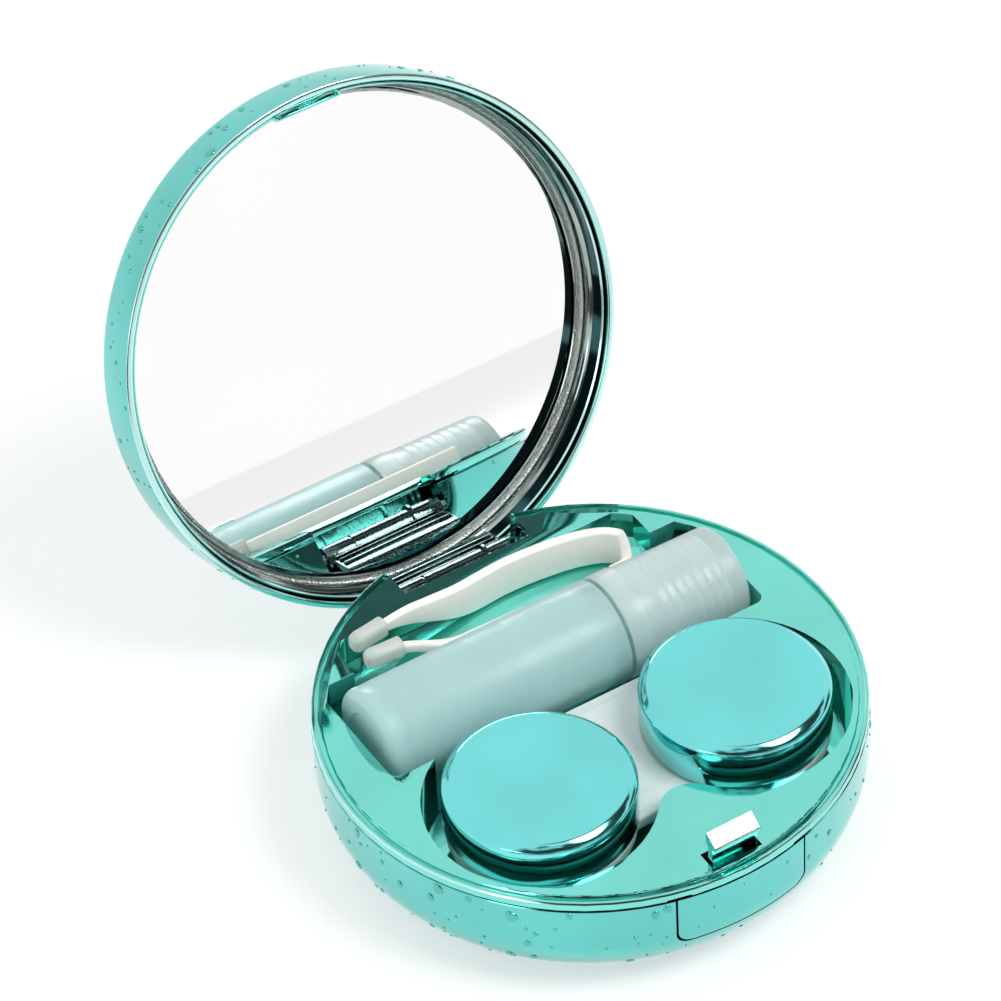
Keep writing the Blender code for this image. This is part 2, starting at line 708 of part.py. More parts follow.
def ribbon(name, line, front):
    """A strip on edge that follows a line."""
    shape = bmesh.new()
    rings = []
    for (x, y), angle in line:
        half = (ARM_THICK - (ARM_THICK - ARM_THIN) * max(0.0, min(1.0, (-0.008 - x) / 0.0108))) / 2
        across = (-math.sin(angle) * half, math.cos(angle) * half)
        low, top = arm_edges(x, front)
        corners = ((1, low), (1, top), (-1, top), (-1, low))
        rings.append([shape.verts.new((x + k * across[0], y + k * across[1], height)) for k, height in corners])
    for first, second in zip(rings, rings[1:]):
        for i in range(4):
            shape.faces.new((first[i], first[(i + 1) % 4], second[(i + 1) % 4], second[i]))
    shape.faces.new(rings[0][::-1])
    shape.faces.new(rings[-1])
    bmesh.ops.recalc_face_normals(shape, faces=shape.faces)
    mesh = bpy.data.meshes.new(name)
    shape.to_mesh(mesh)
    shape.free()
    return bevel(new_object(name, mesh), 0.0002)


def build_tweezers():
    for name, points in (("rear", REAR_ARM), ("front", FRONT_ARM)):
        line = smooth_line(points, 3)
        finish(ribbon(f"tweezers_{name}_arm", line, name == "front"), ivory)
        (x, y), angle = line[0]
        half = [size / 2 for size in TIP_SIZE]
        tip = box(f"tweezers_{name}_tip", [-size for size in half], half, 0.0007, 2)
        tip.location = (x - 0.0007, y - 0.0007 * math.sin(angle), ARM_TOP - 0.0008)
        socket = box(f"{name}_tip_socket", (-0.0002, -0.00085, -0.0020), (0.0100, 0.00085, 0.0002))
        socket.location = (x, y, ARM_TOP)
        for obj in (tip, socket):
            obj.rotation_euler = (0.0, 0.0, angle)
        finish(cut(tip, socket), silicone)


build_base_shell()
build_inner_tray()
build_latch_button()
build_latch_spring()
build_hinge_pin()
build_lid_shell()
build_lid_liner()
build_mirror()
build_lens_case()
build_lens_caps()
build_bottle()
build_tweezers()
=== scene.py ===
"""Looks for a round contact lens travel kit: plated teal shells with water-drop relief.

Metres, +Z up, in the frame's own axes. The lid's pieces are made in the closed lid's place and
turned open.
"""

import math
import random

import bmesh
import bpy
from mathutils import Matrix, Vector


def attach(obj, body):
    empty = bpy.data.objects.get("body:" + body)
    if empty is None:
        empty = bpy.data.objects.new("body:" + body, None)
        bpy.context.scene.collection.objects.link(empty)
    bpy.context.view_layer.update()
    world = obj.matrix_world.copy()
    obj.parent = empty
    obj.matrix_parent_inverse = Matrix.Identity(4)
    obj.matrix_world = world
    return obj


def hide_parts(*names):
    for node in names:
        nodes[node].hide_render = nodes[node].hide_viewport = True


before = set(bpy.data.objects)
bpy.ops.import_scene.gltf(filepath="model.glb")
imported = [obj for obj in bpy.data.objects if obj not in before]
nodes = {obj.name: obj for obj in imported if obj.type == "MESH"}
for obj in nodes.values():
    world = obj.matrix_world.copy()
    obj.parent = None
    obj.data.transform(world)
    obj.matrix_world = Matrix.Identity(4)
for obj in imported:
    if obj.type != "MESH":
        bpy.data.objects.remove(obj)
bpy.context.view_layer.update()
MM = 0.001

# ---- sizes, as in the frame ----------------------------------------------------------------------
CASE_R = 38.0 * MM
BASE_TOP = 16.1 * MM
BASE_EDGE_R = 10.0 * MM
SHELL_WALL = 1.5 * MM
BUTTON_HALF = 10.0 * MM
BUTTON_LOW = 7.6 * MM
BUTTON_GAP = 0.3 * MM
NOTCH_HALF = 10.3 * MM
HINGE = Vector((0.0, 34.7 * MM, 12.8 * MM))
OPEN_ANGLE = math.radians(113.0)
LID_OPEN = Matrix.Translation(HINGE) @ Matrix.Rotation(-OPEN_ANGLE, 4, "X") @ Matrix.Translation(-HINGE)
LID_RIM = 17.9 * MM
LID_TOP = 27.4 * MM
LID_EDGE_R = 2.6 * MM
MIRROR_FRONT = 24.1 * MM
WELL = Vector((15.7 * MM, -12.1 * MM, 0.0))
CAP_R = 13.2 * MM
CAP_TOP = 21.6 * MM
CAP_LOW = 14.5 * MM
BOTTLE = Vector((0.0, 11.4 * MM, 15.4 * MM))
ARM_TOP = 19.8 * MM
ARM_LEFT = -18.8 * MM
BOTTLE_SHOULDER = 9.9 * MM
FLOOR_R = 4.0

# ---- camera --------------------------------------------------------------------------------------
CAMERA_AT = Vector((-0.27485, -0.45275, 0.56220))
CAMERA_AXES = (
    (0.84441, -0.53421, -0.04013),
    (0.39449, 0.56936, 0.72126),
    (-0.36245, -0.62486, 0.69150),
)
CAMERA_LENS = 201.2

camera_data = bpy.data.cameras.new("camera")
camera_data.sensor_width = 36.0
camera_data.lens = CAMERA_LENS
camera_data.clip_start = 0.01
camera = bpy.data.objects.new("camera", camera_data)
bpy.context.scene.collection.objects.link(camera)
camera.matrix_world = Matrix.Translation(CAMERA_AT) @ Matrix(CAMERA_AXES).transposed().to_4x4()
bpy.context.scene.camera = camera
bpy.context.scene.view_settings.view_transform = "Standard"


# ---- materials -----------------------------------------------------------------------------------
def linear(red, green, blue):
    """A colour given as it looks on a screen, from 0 to 255."""
    shares = [c / 255 for c in (red, green, blue)]
    return tuple(c / 12.92 if c < 0.0405 else ((c + 0.055) / 1.055) ** 2.4 for c in shares)


def node(tree, kind, **values):
    """A shader node with values for its inputs or, where it has no such input, its settings."""
    made = tree.nodes.new(kind)
    for key, value in values.items():
        if key in made.inputs:
            made.inputs[key].default_value = value
        else:
            setattr(made, key, value)
    return made


def surface(name, colour, roughness, vary=0.06, bump=0.05, depth=0.05, bump_scale=900.0, **fixed):
    """A Principled material with a slow drift of colour, a patchy roughness and a fine bump.

    Depth is in mm. What is left over goes to the shader's own sockets.
    """
    made = bpy.data.materials.new(name)
    made.use_nodes = True
    tree = made.node_tree
    shader = tree.nodes["Principled BSDF"]
    place = node(tree, "ShaderNodeTexCoord")
    drift = node(tree, "ShaderNodeTexNoise", Scale=60.0, Detail=3.0)
    tree.links.new(place.outputs["Object"], drift.inputs["Vector"])
    tint = node(tree, "ShaderNodeValToRGB")
    low = [c * (1.0 - vary) for c in colour]
    high = [min(1.0, c * (1.0 + vary)) for c in colour]
    tint.color_ramp.elements[0].position = 0.30
    tint.color_ramp.elements[0].color = (*low, 1.0)
    tint.color_ramp.elements[1].position = 0.70
    tint.color_ramp.elements[1].color = (*high, 1.0)
    tree.links.new(drift.outputs["Fac"], tint.inputs["Fac"])
    tree.links.new(tint.outputs["Color"], shader.inputs["Base Color"])
    patches = node(tree, "ShaderNodeTexNoise", Scale=400.0, Detail=4.0)
    tree.links.new(place.outputs["Object"], patches.inputs["Vector"])
    spread = node(tree, "ShaderNodeMapRange")
    spread.inputs["From Min"].default_value = 0.3
    spread.inputs["From Max"].default_value = 0.7
    spread.inputs["To Min"].default_value = roughness * 0.75
    spread.inputs["To Max"].default_value = roughness * 1.25
    tree.links.new(patches.outputs["Fac"], spread.inputs["Value"])
    tree.links.new(spread.outputs["Result"], shader.inputs["Roughness"])
    fine = node(tree, "ShaderNodeTexNoise", Scale=bump_scale, Detail=3.0)
    tree.links.new(place.outputs["Object"], fine.inputs["Vector"])
    relief = node(tree, "ShaderNodeBump", Strength=bump, Distance=depth * MM)
    tree.links.new(fine.outputs["Fac"], relief.inputs["Height"])
    tree.links.new(relief.outputs["Normal"], shader.inputs["Normal"])
    for key, value in fixed.items():
        shader.inputs[key.replace("_", " ")].default_value = value
    return made


PLATE = {"Metallic": 1.0, "Coat_Weight": 0.25, "Coat_Roughness": 0.03}
plated_shell = surface("plated_shell", linear(101, 199, 192), 0.10, bump=0.10, **PLATE)
# the drops take a darker copy of the shell's plating: painted shade
drop_plate_painted_shade = surface("drop_plate_painted_shade", linear(86, 182, 174), 0.08, bump=0.02, **PLATE)
plated_deck = surface("plated_deck", linear(122, 218, 207), 0.07, bump=0.04, **PLATE)
# paler plating that some upward or camera-facing faces take in place of the shell's: a painted highlight
pale_plate_painted_highlight = surface(
    "pale_plate_painted_highlight", linear(196, 238, 234), 0.12, bump=0.05, Metallic=1.0, Coat_Weight=0.2
)
plated_cap = surface("plated_cap", linear(119, 219, 219), 0.10, bump=0.05, **PLATE)
liner_plate = surface("liner_plate", linear(168, 182, 180), 0.10, bump=0.15, Metallic=1.0)
liner_dark = surface("liner_dark", linear(26, 76, 82), 0.07, vary=0.25, bump=0.10, Metallic=1.0)
hinge_dark = surface(
    "hinge_dark",
    linear(92, 112, 112),
    0.12,
    vary=0.3,
    bump=0.3,
    depth=0.1,
    bump_scale=2600.0,
    Metallic=1.0,
)
liner_rough = surface(
    "liner_rough",
    linear(186, 190, 186),
    0.22,
    bump=0.9,
    depth=0.25,
    bump_scale=2600.0,
    Metallic=1.0,
)
mirror_glass = surface(
    "mirror_glass", (0.97, 0.975, 0.97), 0.012, vary=0.004, bump=0.0, Metallic=1.0
)
pin_steel = surface("pin_steel", (0.60, 0.60, 0.58), 0.28, bump=0.3, Metallic=1.0)
adhesive_foam = surface("adhesive_foam", (0.18, 0.18, 0.18), 0.9, vary=0.2, bump=0.8, depth=0.2)
white_plastic = surface(
    "white_plastic", linear(226, 234, 232), 0.32, vary=0.02, bump=0.08, Coat_Weight=0.15
)
frosted_bottle = surface(
    "frosted_bottle",
    linear(216, 250, 250),
    0.40,
    vary=0.015,
    bump=0.10,
    Transmission_Weight=0.50,
    IOR=1.38,
    Coat_Weight=0.12,
    Coat_Roughness=0.25,
)
frosted_cap = surface(
    "frosted_cap",
    linear(236, 253, 252),
    0.40,
    vary=0.015,
    bump=0.10,
    Transmission_Weight=0.52,
    IOR=1.38,
    Coat_Weight=0.2,
    Coat_Roughness=0.15,
)
ivory_plastic = surface(
    "ivory_plastic",
    linear(250, 247, 240),
    0.40,
    vary=0.03,
    bump=0.12,
    Coat_Weight=0.1,
    Coat_Roughness=0.2,
)
silicone = surface(
    "silicone",
    linear(236, 244, 238),
    0.42,
    vary=0.03,
    bump=0.1,
    Transmission_Weight=0.5,
    IOR=1.38,
)


# ---- mesh helpers --------------------------------------------------------------------------------
def link(obj):
    bpy.context.scene.collection.objects.link(obj)
    return obj


def from_bmesh(name, shape):
    bmesh.ops.recalc_face_normals(shape, faces=shape.faces)
    mesh = bpy.data.meshes.new(name)
    shape.to_mesh(mesh)
    shape.free()
    return link(bpy.data.objects.new(name, mesh))


def settle(obj):
    """Makes what the modifiers do part of the mesh."""
    bpy.context.view_layer.update()
    seen = obj.evaluated_get(bpy.context.evaluated_depsgraph_get())
    done = bpy.data.meshes.new_from_object(seen)
    obj.modifiers.clear()
    obj.data = done
    return obj


def boolean(obj, tool, operation):
    """Joins, cuts or trims an object by a tool, which is used up."""
    step = obj.modifiers.new("tool", "BOOLEAN")
    step.operation = operation
    step.object = tool
    step.solver = "EXACT"
    settle(obj)
    bpy.data.objects.remove(tool)
    return obj


def bevelled(obj, width, segments=2):
    """Rounds the edges sharper than 35 degrees."""
    step = obj.modifiers.new("round", "BEVEL")
    step.width = width
    step.segments = segments
    step.limit_method = "ANGLE"
    step.angle_limit = math.radians(35)
    step.use_clamp_overlap = True
    return settle(obj)


def shaded(obj, look, angle=38):
    """Smooth shading with true edges, and the material."""
    obj.data.shade_smooth()
    obj.data.set_sharp_from_angle(angle=math.radians(angle))
    obj.data.materials.clear()
    obj.data.materials.append(look)
    return obj


def lip(obj, picks, look=None):
    """Gives the faces that a test of (radius, height, normal) picks a second look; the default pale plating
    is a painted highlight.
    """
    obj.data.materials.append(look or pale_plate_painted_highlight)
    index = len(obj.data.materials) - 1
    for face in obj.data.polygons:
        if picks(math.hypot(face.center.x, face.center.y), face.center.z, face.normal):
            face.material_index = index
    return obj


def piece(obj, body, slot_name, *stands_for):
    """Puts a finished piece on its body and hides the frame nodes it stands for. The slot name is not used.
    """
    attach(obj, body)
    if stands_for:
        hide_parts(*stands_for)
    return obj


def arc(centre, radius, start, end, count):
    """Points along an arc between two angles in degrees."""
    angles = [math.radians(start + (end - start) * i / count) for i in range(count + 1)]
    return [(centre[0] + radius * math.cos(a), centre[1] + radius * math.sin(a)) for a in angles]


def lathe(name, profile, steps=256, closed=False):
    """A profile of (radius, height) points turned about Z. One on the axis is a single vertex."""
    shape = bmesh.new()
    turn = [2 * math.pi * i / steps for i in range(steps)]
    rings = []
    for radius, height in profile:
        if radius < 1e-7:
            places = [(0.0, 0.0, height)]
        else:
            places = [(radius * math.cos(a), radius * math.sin(a), height) for a in turn]
        rings.append([shape.verts.new(place) for place in places])
    pairs = list(zip(rings, rings[1:])) + ([(rings[-1], rings[0])] if closed else [])
    for upper, lower in pairs:
        for i in range(steps):
            j = (i + 1) % steps
            if len(upper) == 1 and len(lower) == 1:
                break
            if len(upper) == 1:
                shape.faces.new((upper[0], lower[i], lower[j]))
            elif len(lower) == 1:
                shape.faces.new((upper[i], lower[0], upper[j]))
            else:
                shape.faces.new((upper[i], lower[i], lower[j], upper[j]))
    return from_bmesh(name, shape)


def slab(name, outline, low, high, plane="XY"):
    """An outline extruded between two places on the axis that its plane leaves out."""
    order = {
        "XY": lambda a, b, h: (a, b, h),
        "XZ": lambda a, b, h: (a, h, b),
        "YZ": lambda a, b, h: (h, a, b),
    }
    shape = bmesh.new()
    ends = [[shape.verts.new(order[plane](a, b, h)) for a, b in outline] for h in (low, high)]
    shape.faces.new(ends[0])
    shape.faces.new(ends[1][::-1])
    for i in range(len(outline)):
        j = (i + 1) % len(outline)
        shape.faces.new((ends[0][i], ends[0][j], ends[1][j], ends[1][i]))
    return from_bmesh(name, shape)


def box(name, low, high):
    outline = [(low[0], low[1]), (high[0], low[1]), (high[0], high[1]), (low[0], high[1])]
    return slab(name, outline, low[2], high[2])


def drum(name, centre, radius, half, steps=64):
    """A cylinder along X."""
    circle = arc((0.0, 0.0), radius, 0, 360, steps)[:-1]
    outline = [(centre[1] + a, centre[2] + b) for a, b in circle]
    return slab(name, outline, centre[0] - half, centre[0] + half, "YZ")


def base_side(offset, top):
    """The base's outer side moved inwards by an offset, from a height down to the axis."""
    edge = arc((CASE_R - BASE_EDGE_R, BASE_EDGE_R), BASE_EDGE_R - offset, 0, -90, 28)
    return [(CASE_R - offset, top)] + edge + [(0.0, offset)]


# ---- water-drop relief ---------------------------------------------------------------------------
DROP_PROFILE = ((1.00, -0.30), (0.97, 0.30), (0.88, 0.72), (0.66, 0.93), (0.34, 1.00))
DROP_SIDES = 18
MM_PER_DEGREE = 0.66


def add_drop(shape, at, out, radius, draw):
    """One low dome with an uneven outline and a steep rim, standing on a surface point."""
    up = Vector((0.0, 0.0, 1.0)) if abs(out.z) < 0.9 else Vector((0.0, 1.0, 0.0))
    side = up.cross(out).normalized()
    along = out.cross(side)
    height = 0.08 * MM + 0.20 * radius
    stretch = draw.uniform(1.0, 1.35)
    phases = [draw.uniform(0.0, 2 * math.pi) for _ in range(3)]
    rings = []
    for part, lift in DROP_PROFILE:
        ring = []
        for i in range(DROP_SIDES):
            a = 2 * math.pi * i / DROP_SIDES
            wave = 0.14 * math.sin(a + phases[0]) + 0.10 * math.sin(2 * a + phases[1])
            wave += 0.05 * math.sin(3 * a + phases[2])
            reach = radius * part * (1.0 + wave)
            across = side * (reach * math.cos(a)) + along * (reach * stretch * math.sin(a))
            ring.append(shape.verts.new(at + across + out * (lift * height)))
        rings.append(ring)
    for lower, upper in zip(rings, rings[1:]):
        for i in range(DROP_SIDES):
            j = (i + 1) % DROP_SIDES
            shape.faces.new((lower[i], lower[j], upper[j], upper[i]))
    shape.faces.new(rings[-1])
    shape.faces.new(rings[0][::-1])


def on_base(angle, height):
    """A point of the base's side and its outward direction, from an angle in degrees and a height."""
    turn = math.radians(angle)
    if height >= BASE_EDGE_R:
        radius, lean = CASE_R, 0.0
    else:
        lean = math.asin((BASE_EDGE_R - height) / BASE_EDGE_R)
        radius = CASE_R - BASE_EDGE_R + BASE_EDGE_R * math.cos(lean)
    out = Vector((math.cos(turn) * math.cos(lean), math.sin(turn) * math.cos(lean), -math.sin(lean)))
    return Vector((radius * math.cos(turn), radius * math.sin(turn), height)), out


def on_lid_side(angle, height):
    """The same for the side of the shut lid."""
    turn = math.radians(angle)
    out = Vector((math.cos(turn), math.sin(turn), 0.0))
    return out * CASE_R + Vector((0.0, 0.0, height)), out


def on_lid_top(angle, radius):
    """The same for the top of the shut lid, from an angle and a distance from its middle."""
    turn = math.radians(angle)
    up = Vector((0.0, 0.0, 1.0))
    return Vector((radius * math.cos(turn), radius * math.sin(turn), LID_TOP)), up


def drops(name, places, where, draw, turn=None):
    """Drops as one mesh, from (angle in degrees, height or distance in mm, radius in mm)."""
    shape = bmesh.new()
    for angle, height, radius in places:
        at, out = where(angle, height * MM)
        add_drop(shape, at, out, radius * MM, draw)
    obj = from_bmesh(name, shape)
    if turn:
        obj.data.transform(turn)
    # the darker drop plating is painted shade
    return shaded(obj, drop_plate_painted_shade, 50)


def apart(place, other):
    """The distance in mm between two places on a side."""
    return math.hypot((place[0] - other[0]) * MM_PER_DEGREE, place[1] - other[1])


def scatter(count, heights, draw, clear):
    """Mostly tiny drops with a few larger ones, clear of each other."""
    places = []
    while len(places) < count:
        radius = 0.15 + 0.20 * draw.random() ** 2
        radius += 0.45 * draw.random() if draw.random() < 0.16 else 0.0
        angle = draw.uniform(-180.0, 180.0)
        height = draw.uniform(heights[0] + radius, heights[1] - 1.5 * radius)
        place = (angle, height, radius)
        if clear(place):
            continue
        if all(apart(p, place) >= 1.5 * (p[2] + radius) for p in places):
            places.append(place)
    return places


def by_a_placed_drop(place, placed):
    return any(apart(p, place) < p[2] + place[2] + 0.4 for p in placed)


# the larger drops on the seen side: angle in degrees (-90 is the front), height, radius
BASE_DROPS = [
    (-155, 15.0, 0.72), (-139, 14.1, 0.85), (-127, 15.2, 0.50), (-110, 14.2, 0.60),
    (-107.4, 14.9, 0.62), (-178, 14.8, 0.60), (-179, 7.8, 0.70), (-177, 13.1, 0.35),
    (-170, 13.4, 0.35), (-172, 6.4, 0.40), (-148, 15.2, 0.45), (-136, 12.0, 0.25),
    (-134, 11.2, 0.35), (-145, 8.4, 0.30), (-130, 12.5, 0.30), (-140, 4.9, 0.70),
    (-135, 5.5, 0.60), (-120, 8.8, 0.25), (-115, 3.4, 0.60), (-114, 10.5, 0.30),
    (-73, 11.3, 0.35), (-66, 11.9, 0.50),
]
LID_DROPS = [
    (-64, 22.6, 0.55), (-59, 22.9, 0.40), (-90, 23.7, 0.55), (-101, 23.9, 0.50),
    (-107, 24.0, 0.40), (-113, 19.9, 0.90), (-118, 19.0, 0.60), (-127, 21.9, 0.35),
    (-127, 19.7, 0.40), (-131, 23.9, 0.40), (-134, 23.6, 0.70), (-162, 21.5, 0.40),
    (-171, 19.2, 0.30), (180, 23.9, 0.40),
]


# ---- lower shell ---------------------------------------------------------------------------------
def button_outline(grow, top):
    """The button seen from the front, grown on all sides but the top."""
    half = BUTTON_HALF + grow
    low = BUTTON_LOW - grow
    radius = 2.2 * MM
    corners = arc((-half + radius, low + radius), radius, 180, 270, 12)
    corners += arc((half - radius, low + radius), radius, 270, 360, 12)
    return [(half, top), (-half, top)] + corners


def build_base():
    edge = 0.12 * MM
    outer = [(CASE_R - edge, BASE_TOP), (CASE_R, BASE_TOP - edge)] + base_side(0.0, BASE_TOP)[1:]
    inner = base_side(SHELL_WALL, BASE_TOP)
    shell = lathe("base_shell_skin", inner[::-1] + outer)
    for side in (-1, 1):
        inside, outside = sorted((side * 10.6 * MM, side * 13.7 * MM))
        boss = box("boss", (inside, 32.2 * MM, 10.0 * MM), (outside, 35.0 * MM, 15.6 * MM))
        boolean(shell, boss, "UNION")
    notch = box("notch", (-NOTCH_HALF, 30 * MM, 8.6 * MM), (NOTCH_HALF, 45 * MM, 30 * MM))
    boolean(shell, notch, "DIFFERENCE")
    window = slab("window", button_outline(BUTTON_GAP, 20 * MM), -45 * MM, -32 * MM, "XZ")
    boolean(shell, window, "DIFFERENCE")
    piece(shaded(shell, plated_shell), "case", "plated_shell", "base_shell")

    def clear(place):
        """Keeps drops off the button's window, the hinge's notch and the placed drops."""
        angle, height, _ = place
        window = abs(angle + 90) < 17.5 and height > 6.0
        notch = abs(angle - 90) < 18.0 and height > 7.0
        return window or notch or by_a_placed_drop(place, BASE_DROPS)

    draw = random.Random(11)
    places = BASE_DROPS + scatter(130, (2.2, 15.9), draw, clear)
    piece(drops("base_drops", places, on_base, draw), "case", "plated_shell")


def build_button():
    wall = 1.4 * MM
    top = BASE_TOP - 0.05 * MM
    panel = lathe("latch_button_skin", base_side(wall, top)[::-1] + base_side(0.0, top))
    blank = slab("blank", button_outline(0.0, 20 * MM), -45 * MM, -30 * MM, "XZ")
    boolean(panel, blank, "INTERSECT")
    bevelled(panel, 0.12 * MM)
    rear, front, tip = -34.2 * MM, -35.2 * MM, -36.1 * MM
    high = 22.8 * MM
    outline = [
        (-37.0 * MM, 12.4 * MM),
        (rear, 12.4 * MM),
        (rear, high - 2.4 * MM),
        (-33.7 * MM, high - 1.9 * MM),
        (-33.7 * MM, high - 0.1 * MM),
        (-33.9 * MM, high),
        (tip + 0.2 * MM, high - 1.4 * MM),
        (tip, high - 1.6 * MM),
        (tip, high - 2.0 * MM),
        (front, high - 2.3 * MM),
        (front, 14.2 * MM),
        (-37.0 * MM, 14.2 * MM),
    ]
    hook = bevelled(slab("hook", outline, -3.6 * MM, 3.6 * MM, "YZ"), 0.12 * MM)
    boolean(panel, hook, "UNION")
    shaded(panel, plated_shell, 20)
    # the hook's upward faces take the pale plating: a painted highlight
    lip(panel, lambda reach, height, normal: height > 20 * MM and normal.z > 0.5)
    piece(panel, "latch", "plated_shell", "latch_button")
    draw = random.Random(5)
    places = [(-97.5, 12.6, 0.20), (-84.0, 9.6, 0.16), (-79.5, 13.8, 0.24)]
    places += [(-101.0, 9.8, 0.16), (-90.5, 14.6, 0.14)]
    piece(drops("button_drops", places, on_base, draw), "latch", "plated_shell")


# ---- tray ----------------------------------------------------------------------------------------
def refined(cad_node, name, width, segments=2):
    """A copy of a frame node with its flat faces made whole and its edges rounded."""
    shape = bmesh.new()
    shape.from_mesh(nodes[cad_node].data)
    bmesh.ops.remove_doubles(shape, verts=shape.verts, dist=0.002 * MM)
    flat = math.radians(0.5)
    bmesh.ops.dissolve_limit(shape, angle_limit=flat, verts=shape.verts, edges=shape.edges)
    return bevelled(from_bmesh(name, shape), width, segments)


def build_tray():
    tray = refined("inner_tray", "inner_tray_skin", 0.22 * MM, 3)
    for inside, outside, low in ((36.50, 36.61, 17.3), (37.31, 37.42, 17.1)):
        outline = [(inside, 18.4), (outside, 18.4), (outside, low), (inside, low)]
        line = lathe("rim_line", [(r * MM, z * MM) for r, z in outline], 192, closed=True)
        boolean(tray, line, "DIFFERENCE")
    shaded(tray, plated_deck)
    # the rim's upward faces take the pale plating: a painted highlight band
    lip(tray, lambda reach, height, out: reach > 36.62 * MM and height > 17 * MM and out.z > 0.3)
    piece(tray, "case", "plated_shell", "inner_tray")


# ---- lid -----------------------------------------------------------------------------------------
def build_lid():
    inner_top = LID_TOP - 1.1 * MM
    edge_in = LID_EDGE_R - 1.0 * MM
    lip_edge = 0.22 * MM
    inner_r = 37.0 * MM
    profile = [(0.0, LID_TOP)]
    profile += arc((CASE_R - LID_EDGE_R, LID_TOP - LID_EDGE_R), LID_EDGE_R, 90, 0, 16)
    profile += arc((CASE_R - lip_edge, LID_RIM + lip_edge), lip_edge, 0, -90, 4)
    profile += arc((inner_r + lip_edge, LID_RIM + lip_edge), lip_edge, 270, 180, 4)
    profile += arc((inner_r - edge_in, inner_top - edge_in), edge_in, 0, 90, 8) + [(0.0, inner_top)]
    shell = lathe("lid_shell_skin", profile)
    shaded(shell, plated_shell)
    # the rim faces that turn toward the camera once the lid opens take the pale plating: a painted
    # highlight
    lip(shell, lambda reach, height, out: out.z < -0.3 and height < LID_RIM + lip_edge)
    shell.data.transform(LID_OPEN)
    piece(shell, "lid", "plated_shell", "lid_shell")

    draw = random.Random(23)
    free = scatter(80, (18.3, 24.9), draw, lambda place: by_a_placed_drop(place, LID_DROPS))
    sides = drops("lid_side_drops", LID_DROPS + free, on_lid_side, draw, LID_OPEN)
    piece(sides, "lid", "plated_shell")

    tops = []
    while len(tops) < 120:
        reach = 34.0 * math.sqrt(draw.random())
        size = 0.16 + 0.25 * draw.random() ** 2
        size += 0.8 * draw.random() if draw.random() < 0.2 else 0.0
        angle = draw.uniform(-180.0, 180.0)
        spot = on_lid_top(angle, reach)[0]
        if all((spot - on_lid_top(a, r)[0]).length > 1.6 * (size + s) for a, r, s in tops):
            tops.append((angle, reach, size))
    piece(drops("lid_top_drops", tops, on_lid_top, draw, LID_OPEN), "lid", "plated_shell")


def build_liner():
    outer = 36.7 * MM
    back = LID_TOP - 1.3 * MM
    mouth = LID_RIM + 0.7 * MM
    step = MIRROR_FRONT + 0.3 * MM
    floor = MIRROR_FRONT + 1.5 * MM
    seat = 35.0 * MM
    profile = [
        (0.0, back),
        (outer - 1.6 * MM, back),
        (outer, back - 1.6 * MM),
        (outer, mouth + 0.15 * MM),
        (outer - 0.15 * MM, mouth),
        (36.45 * MM, mouth),
        (36.30 * MM, mouth + 0.15 * MM),
        (36.25 * MM, mouth + 2.60 * MM),
        (36.05 * MM, mouth + 2.75 * MM),
        (36.00 * MM, mouth + 3.05 * MM),
        (35.85 * MM, mouth + 3.15 * MM),
        (35.80 * MM, step - 1.15 * MM),
        (35.55 * MM, step - 0.95 * MM),
        (35.20 * MM, step - 0.10 * MM),
        (35.10 * MM, step),
        (seat, step),
        (seat, floor),
        (0.0, floor),
    ]
    ring = lathe("lid_liner_skin", profile)
    window = box(
        "window",
        (-4.6 * MM, -37.5 * MM, LID_RIM + 2.7 * MM),
        (4.6 * MM, -34.5 * MM, LID_RIM + 5.6 * MM),
    )
    boolean(ring, window, "DIFFERENCE")
    shaded(ring, liner_plate, 20)

    def strip(reach, height, out):
        return 35.15 * MM < reach < 35.82 * MM and height > step - 1.2 * MM

    def wall(reach, height, out):
        return 36.2 * MM < reach < 36.4 * MM and height < mouth + 2.65 * MM

    lip(ring, strip, liner_rough)
    lip(ring, wall, liner_dark)
    # the mouth's faces that turn toward the camera once the lid opens take the pale plating: a painted
    # highlight
    lip(ring, lambda reach, height, out: height < mouth + 0.16 * MM and out.z < -0.2)
    ring.data.transform(LID_OPEN)
    piece(ring, "lid", "liner_plate", "lid_liner")


def build_knuckle():
    half, reach = 9.4 * MM, 36.4 * MM
    arm = box("lid_knuckle", (-half, 34.1 * MM, HINGE.z), (half, 38.0 * MM, LID_RIM + 2.4 * MM))
    limit = lathe("limit", [(0.0, LID_TOP), (reach, LID_TOP), (reach, 0.0), (0.0, 0.0)], 128)
    boolean(arm, limit, "INTERSECT")
    bevelled(arm, 0.25 * MM)
    for low, high in ((2.2, 2.7), (3.6, 3.9), (5.0, 5.6)):
        corners = [(x * MM, y * MM, HINGE.z + z * MM) for x, y, z in ((-8.9, 33.7, low), (8.9, 34.6, high))]
        boolean(arm, bevelled(box("rib", *corners), 0.12 * MM), "UNION")
    shaded(arm, hinge_dark, 30)
    arm.data.transform(LID_OPEN)
    piece(arm, "lid", "liner_plate", "lid_liner")
    barrel = bevelled(drum("lid_knuckle_barrel", HINGE, 1.9 * MM, 9.7 * MM), 0.25 * MM)
    ring = [(1.7 * MM, 0.2 * MM), (2.4 * MM, 0.2 * MM), (2.4 * MM, -0.2 * MM), (1.7 * MM, -0.2 * MM)]
    for x in (-5.0, 5.0):
        groove = lathe("groove", ring, 64, closed=True)
        place = Matrix.Translation(HINGE + Vector((x * MM, 0, 0)))
        groove.data.transform(place @ Matrix.Rotation(math.pi / 2, 4, "Y"))
        boolean(barrel, groove, "DIFFERENCE")
    shaded(barrel, hinge_dark, 30)
    barrel.data.transform(LID_OPEN)
    piece(barrel, "lid", "liner_plate", "lid_liner")


